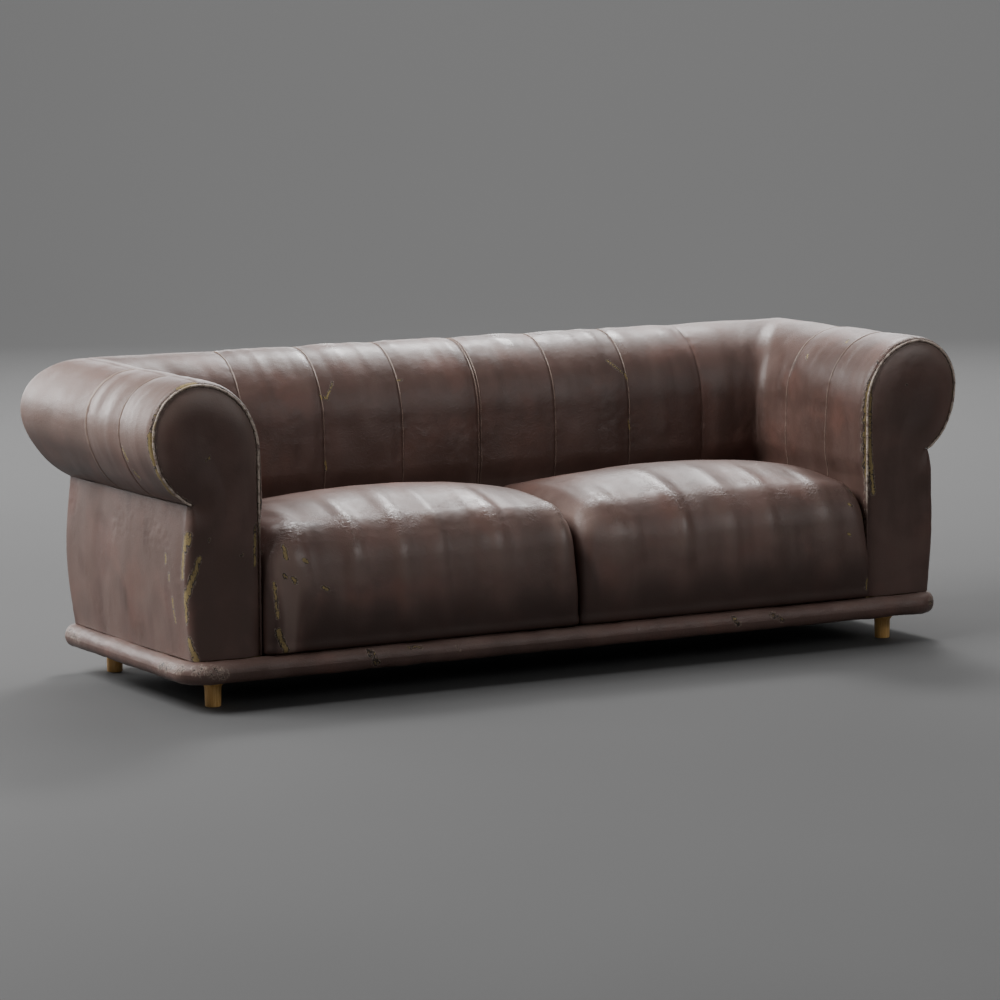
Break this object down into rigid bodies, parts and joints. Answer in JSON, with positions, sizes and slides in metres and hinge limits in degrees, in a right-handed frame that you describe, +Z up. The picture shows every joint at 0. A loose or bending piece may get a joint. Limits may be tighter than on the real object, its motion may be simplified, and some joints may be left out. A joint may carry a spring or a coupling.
{
  "type": "worn leather sofa",
  "caption": "Low sofa in worn brown leather, with rolled arms, a fluted back, deep block cushions, a stuffed roll round the base and short turned legs.",
  "frame": {"origin": "on the floor, under the middle of the sofa's box", "axes": "+X along the sofa towards the sitter's left arm, which is on the right from the front; -Y is the front; +Z up"},
  "size_m": [2.38, 0.8549, 0.814],
  "materials": {
    "worn_brown_leather": "worn, half glossy, with rubbed edges and ochre cracks",
    "rubbed_piping_leather": "rubbed pale and cracked",
    "yellowed_foam": "matt",
    "beech_frame": "sawn, unfinished",
    "jute_webbing": "woven, matt",
    "black_lining_cloth": "matt",
    "oiled_oak": "oiled",
    "zinc_plated_steel": "zinc plated"
  },
  "bodies": {
    "root": {"arm_cover_left": "worn_brown_leather", "arm_cover_right": "worn_brown_leather", "arm_facing_left": "worn_brown_leather", "arm_facing_right": "worn_brown_leather", "arm_foam_left": "yellowed_foam", "arm_foam_right": "yellowed_foam", "arm_front_post_left": "beech_frame", "arm_front_post_right": "beech_frame", "arm_piping_left": "rubbed_piping_leather", "arm_piping_right": "rubbed_piping_leather", "arm_top_rail_left": "beech_frame", "arm_top_rail_right": "beech_frame", "back_corner_post_left": "beech_frame", "back_corner_post_right": "beech_frame", "back_cover": "worn_brown_leather", "back_foam": "yellowed_foam", "back_top_rail": "beech_frame", "back_upright_left": "beech_frame", "back_upright_right": "beech_frame", "base_back_rail": "beech_frame", "base_front_rail": "beech_frame", "base_middle_rail": "beech_frame", "base_roll": "worn_brown_leather", "base_side_rail_left": "beech_frame", "base_side_rail_right": "beech_frame", "corner_block_back_left": "beech_frame", "corner_block_back_right": "beech_frame", "corner_block_front_left": "beech_frame", "corner_block_front_right": "beech_frame", "deck_cloth": "black_lining_cloth", "dust_cover": "black_lining_cloth", "leg_back_left": "oiled_oak", "leg_back_right": "oiled_oak", "leg_bolt_back_left": "zinc_plated_steel", "leg_bolt_back_right": "zinc_plated_steel", "leg_bolt_front_left": "zinc_plated_steel", "leg_bolt_front_right": "zinc_plated_steel", "leg_front_left": "oiled_oak", "leg_front_right": "oiled_oak", "leg_plate_back_left": "zinc_plated_steel", "leg_plate_back_right": "zinc_plated_steel", "leg_plate_front_left": "zinc_plated_steel", "leg_plate_front_right": "zinc_plated_steel", "long_strap_1": "jute_webbing", "long_strap_2": "jute_webbing", "outside_arm_panel_left": "worn_brown_leather", "outside_arm_panel_right": "worn_brown_leather", "outside_back_panel": "worn_brown_leather", "seat_cushion_core_left": "yellowed_foam", "seat_cushion_core_right": "yellowed_foam", "seat_cushion_cover_left": "worn_brown_leather", "seat_cushion_cover_right": "worn_brown_leather", "seat_cushion_underside_left": "black_lining_cloth", "seat_cushion_underside_right": "black_lining_cloth", "seat_strap_1": "jute_webbing", "seat_strap_2": "jute_webbing", "seat_strap_3": "jute_webbing", "seat_strap_4": "jute_webbing", "seat_strap_5": "jute_webbing", "seat_strap_6": "jute_webbing"}
  },
  "joints": []
}
